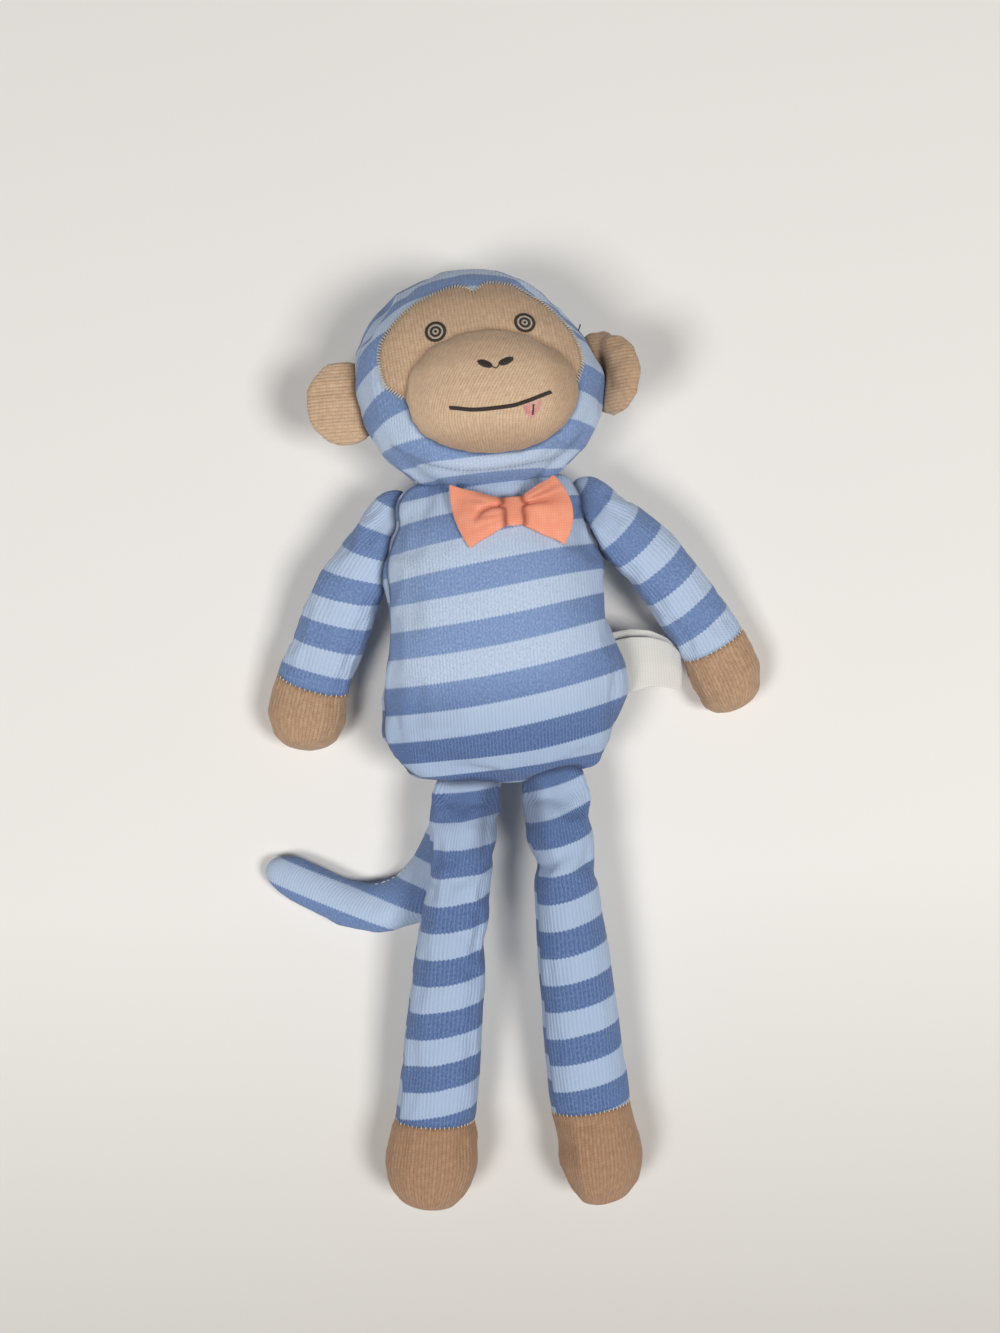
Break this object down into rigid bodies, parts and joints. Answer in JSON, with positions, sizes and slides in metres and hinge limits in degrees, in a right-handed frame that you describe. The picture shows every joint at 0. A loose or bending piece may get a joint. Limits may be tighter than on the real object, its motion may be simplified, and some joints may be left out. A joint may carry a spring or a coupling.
{
  "type": "soft monkey rattle",
  "caption": "Knitted, stuffed monkey toy with striped body and limbs, tan face, hands and feet, a curved tail, a chest bow and a rattle in its belly.",
  "frame": {"origin": "on the table under the middle of the torso, where its back rests", "axes": "+Y from the feet to the head, +Z out of the belly, +X to the right as seen from the front"},
  "size_m": [0.1975, 0.3578, 0.0816],
  "materials": {
    "striped_knit": "matte",
    "tan_knit": "matte",
    "stuffing": "matte",
    "dark_thread": "satin",
    "pale_thread": "satin",
    "pink_thread": "satin",
    "coral_cloth": "matte",
    "label_cloth": "matte",
    "capsule_plastic": "satin",
    "bead_plastic": "gloss"
  },
  "bodies": {
    "torso": {"torso_front_panel": "striped_knit", "torso_back_panel": "striped_knit", "torso_front_filling": "stuffing", "torso_back_filling": "stuffing", "rattle_front_shell": "capsule_plastic", "rattle_back_shell": "capsule_plastic", "bow_loop": "coral_cloth", "bow_knot": "coral_cloth", "side_label": "label_cloth"},
    "head": {"head_front_panel": "striped_knit", "head_back_panel": "striped_knit", "head_filling": "stuffing", "face_patch": "tan_knit", "muzzle_panel": "tan_knit", "muzzle_filling": "stuffing", "left_eye_rim": "dark_thread", "left_eye_white": "pale_thread", "left_pupil": "dark_thread", "left_nostril": "dark_thread", "right_eye_rim": "dark_thread", "right_eye_white": "pale_thread", "right_pupil": "dark_thread", "right_nostril": "dark_thread", "mouth_line": "dark_thread", "tongue": "pink_thread"},
    "left_ear": {"left_ear_front": "tan_knit", "left_ear_back": "tan_knit", "left_ear_filling": "stuffing"},
    "right_ear": {"right_ear_front": "tan_knit", "right_ear_back": "tan_knit", "right_ear_filling": "stuffing"},
    "left_arm": {"left_arm_sleeve": "striped_knit", "left_hand": "tan_knit", "left_arm_filling": "stuffing"},
    "right_arm": {"right_arm_sleeve": "striped_knit", "right_hand": "tan_knit", "right_arm_filling": "stuffing"},
    "left_leg": {"left_leg_sleeve": "striped_knit", "left_foot": "tan_knit", "left_leg_filling": "stuffing"},
    "right_leg": {"right_leg_sleeve": "striped_knit", "right_foot": "tan_knit", "right_leg_filling": "stuffing"},
    "tail": {"tail_sleeve": "striped_knit", "tail_filling": "stuffing"},
    "bead_0": {"bead_0": "bead_plastic"},
    "bead_1": {"bead_1": "bead_plastic"},
    "bead_2": {"bead_2": "bead_plastic"},
    "bead_3": {"bead_3": "bead_plastic"},
    "bead_4": {"bead_4": "bead_plastic"},
    "bead_5": {"bead_5": "bead_plastic"},
    "bead_6": {"bead_6": "bead_plastic"}
  },
  "joints": [
    {"name": "neck_turn", "type": "hinge", "parent": "torso", "child": "head", "pos_m": [-0.0005, 0.056, 0.0345], "axis": [0, 1, 0], "range_deg": [-25, 25]},
    {"name": "left_ear_fold", "type": "hinge", "parent": "head", "child": "left_ear", "pos_m": [-0.045, 0.089, 0.0345], "axis": [0, 1, 0], "range_deg": [-25, 25], "stiffness_Nm_per_rad": 0.02},
    {"name": "right_ear_fold", "type": "hinge", "parent": "head", "child": "right_ear", "pos_m": [0.044, 0.092, 0.0345], "axis": [0, -1, 0], "range_deg": [-25, 25], "stiffness_Nm_per_rad": 0.02},
    {"name": "left_arm_swing", "type": "hinge", "parent": "torso", "child": "left_arm", "pos_m": [-0.0345, 0.047, 0.0285], "axis": [-1, 0, 0], "range_deg": [0, 100]},
    {"name": "right_arm_swing", "type": "hinge", "parent": "torso", "child": "right_arm", "pos_m": [0.0345, 0.047, 0.0285], "axis": [-1, 0, 0], "range_deg": [0, 100]},
    {"name": "left_leg_swing", "type": "hinge", "parent": "torso", "child": "left_leg", "pos_m": [-0.01625, -0.056, 0.0285], "axis": [-1, 0, 0], "range_deg": [0, 90]},
    {"name": "right_leg_swing", "type": "hinge", "parent": "torso", "child": "right_leg", "pos_m": [0.01625, -0.056, 0.0285], "axis": [-1, 0, 0], "range_deg": [0, 90]},
    {"name": "tail_wag", "type": "hinge", "parent": "torso", "child": "tail", "pos_m": [0, -0.037, 0.0055], "axis": [0, 0, 1], "range_deg": [-8, 8]},
    {"name": "bead_0_rattle", "type": "slide", "parent": "torso", "child": "bead_0", "axis": [0, 0, 1], "range_m": [0, 0.0235]},
    {"name": "bead_1_rattle", "type": "slide", "parent": "torso", "child": "bead_1", "axis": [0, 0, 1], "range_m": [0, 0.0199]},
    {"name": "bead_2_rattle", "type": "slide", "parent": "torso", "child": "bead_2", "axis": [0, 0, 1], "range_m": [0, 0.0199]},
    {"name": "bead_3_rattle", "type": "slide", "parent": "torso", "child": "bead_3", "axis": [0, 0, 1], "range_m": [0, 0.0199]},
    {"name": "bead_4_rattle", "type": "slide", "parent": "torso", "child": "bead_4", "axis": [0, 0, 1], "range_m": [0, 0.0199]},
    {"name": "bead_5_rattle", "type": "slide", "parent": "torso", "child": "bead_5", "axis": [0, 0, 1], "range_m": [0, 0.0199]},
    {"name": "bead_6_rattle", "type": "slide", "parent": "torso", "child": "bead_6", "axis": [0, 0, 1], "range_m": [0, 0.0199]}
  ]
}
